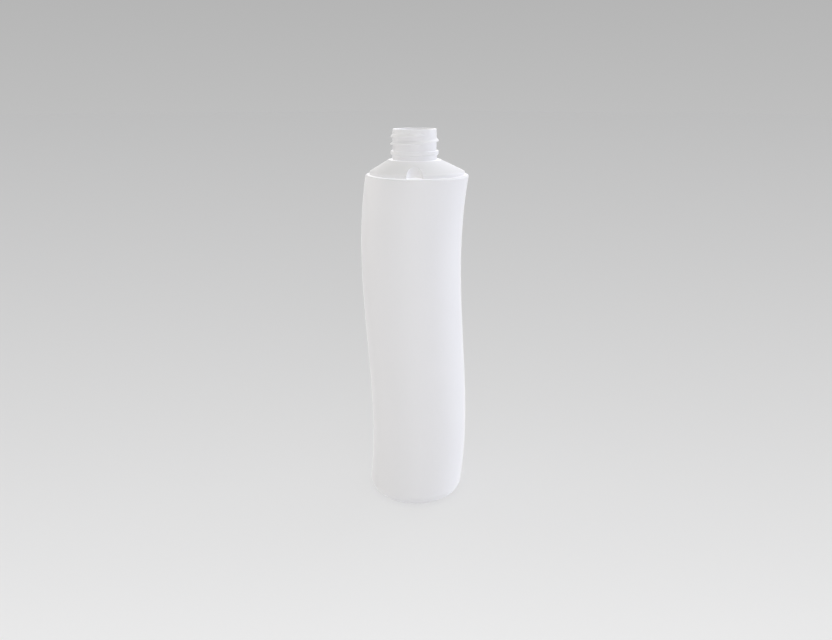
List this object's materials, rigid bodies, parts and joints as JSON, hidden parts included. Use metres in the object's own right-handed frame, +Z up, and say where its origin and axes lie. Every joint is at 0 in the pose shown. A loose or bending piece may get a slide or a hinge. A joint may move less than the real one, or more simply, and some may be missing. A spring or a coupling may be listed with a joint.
{
  "type": "cosmetic bottle",
  "caption": "Tall swaying oval lotion bottle in white plastic, open at its screw neck, with a front notch in the shoulder that turns a cap or a pump to the front.",
  "frame": {"origin": "where the neck's axis meets the surface the bottle stands on", "axes": "+Z up along the neck's axis; -Y is the front, with the notch; +X is the side that the shoulder leans to"},
  "size_m": [0.0649, 0.059, 0.2308],
  "materials": {
    "bottle": "satin white HDPE"
  },
  "bodies": {
    "root": {"bottle": "bottle"}
  },
  "joints": []
}
